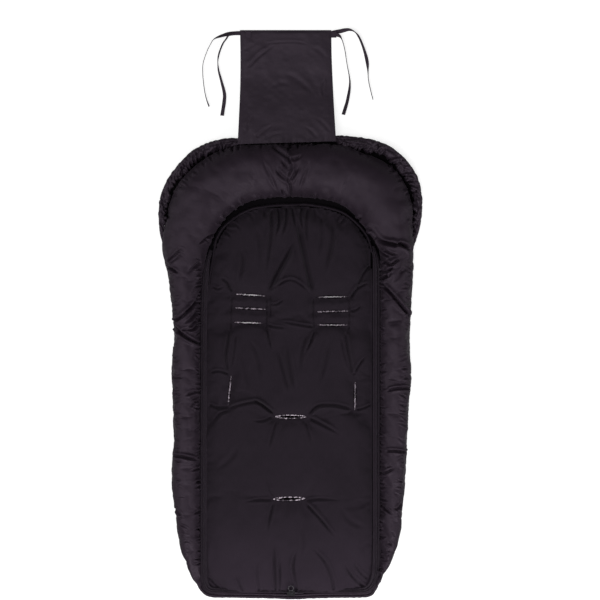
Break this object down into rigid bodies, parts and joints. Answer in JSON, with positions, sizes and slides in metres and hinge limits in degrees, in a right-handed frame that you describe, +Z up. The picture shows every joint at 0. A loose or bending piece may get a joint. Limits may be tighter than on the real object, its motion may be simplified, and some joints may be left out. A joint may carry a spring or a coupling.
{
  "type": "stroller footmuff",
  "caption": "Padded footmuff base for a stroller seat, with a gathered puffy hood, side bolsters, slotted liner pad, zip for a removable front and a tie-on back flap.",
  "frame": {"origin": "bottom centre of the whole piece lying on its back, without its tie tails", "axes": "+Z up out of the side the child lies on, +Y from the foot to the hood and the back flap, +X to the right seen from above"},
  "size_m": [0.514, 1.1125, 0.0646],
  "materials": {
    "nylon_shell": "dark nylon with a soft sheen",
    "back_fabric": "plain woven backing",
    "liner_fleece": "matt brushed microfibre",
    "wadding": "polyester wadding",
    "elastic": "covered elastic",
    "slot_binding": "grey brushed edge",
    "woven_tape": "dark woven tape",
    "moulded_zip": "moulded teeth",
    "zip_metal": "dull nickel"
  },
  "bodies": {
    "muff": {"back_shell": "back_fabric", "crotch_slot_lip_lower": "slot_binding", "crotch_slot_lip_upper": "slot_binding", "flap_root": "nylon_shell", "foot_roll": "nylon_shell", "hem_elastic": "elastic", "hood_cover_left": "nylon_shell", "hood_cover_right": "nylon_shell", "hood_hem": "nylon_shell", "hood_wadding_left": "wadding", "hood_wadding_right": "wadding", "liner_cover": "liner_fleece", "liner_piping": "nylon_shell", "liner_wadding_1": "wadding", "liner_wadding_2": "wadding", "liner_wadding_3": "wadding", "liner_wadding_4": "wadding", "liner_wadding_5": "wadding", "liner_wadding_6": "wadding", "liner_wadding_7": "wadding", "liner_wadding_8": "wadding", "shoulder_slot_lip_left_1": "slot_binding", "shoulder_slot_lip_left_2": "slot_binding", "shoulder_slot_lip_left_3": "slot_binding", "shoulder_slot_lip_right_1": "slot_binding", "shoulder_slot_lip_right_2": "slot_binding", "shoulder_slot_lip_right_3": "slot_binding", "side_cover_left": "nylon_shell", "side_cover_right": "nylon_shell", "side_wadding_left": "wadding", "side_wadding_right": "wadding", "waist_slot_lip_left": "slot_binding", "waist_slot_lip_right": "slot_binding", "zip_insertion_pin": "moulded_zip", "zip_retaining_box": "moulded_zip", "zip_tape_left": "woven_tape", "zip_tape_right": "woven_tape", "zip_teeth_left": "moulded_zip", "zip_teeth_right": "moulded_zip", "zip_top_stop_left": "moulded_zip", "zip_top_stop_right": "moulded_zip"},
    "flap": {"flap_casing": "nylon_shell", "flap_lining": "liner_fleece", "flap_panel": "nylon_shell", "tie_tack_left": "woven_tape", "tie_tack_right": "woven_tape", "tie_tail_left_inner": "woven_tape", "tie_tail_left_outer": "woven_tape", "tie_tail_right_inner": "woven_tape", "tie_tail_right_outer": "woven_tape"},
    "slider": {"zip_slider": "zip_metal"},
    "pull": {"zip_pull": "zip_metal"}
  },
  "joints": [
    {"name": "flap_fold", "type": "hinge", "parent": "muff", "child": "flap", "pos_m": [0, 0.35355, 0], "axis": [1, 0, 0], "range_deg": [-175, 90]},
    {"name": "zip_slide", "type": "slide", "parent": "muff", "child": "slider", "axis": [-1, 0, 0], "range_m": [0, 0.12]},
    {"name": "pull_swing", "type": "hinge", "parent": "slider", "child": "pull", "pos_m": [0, -0.54745, 0.0175], "axis": [1, 0, 0], "range_deg": [0, 150]}
  ]
}
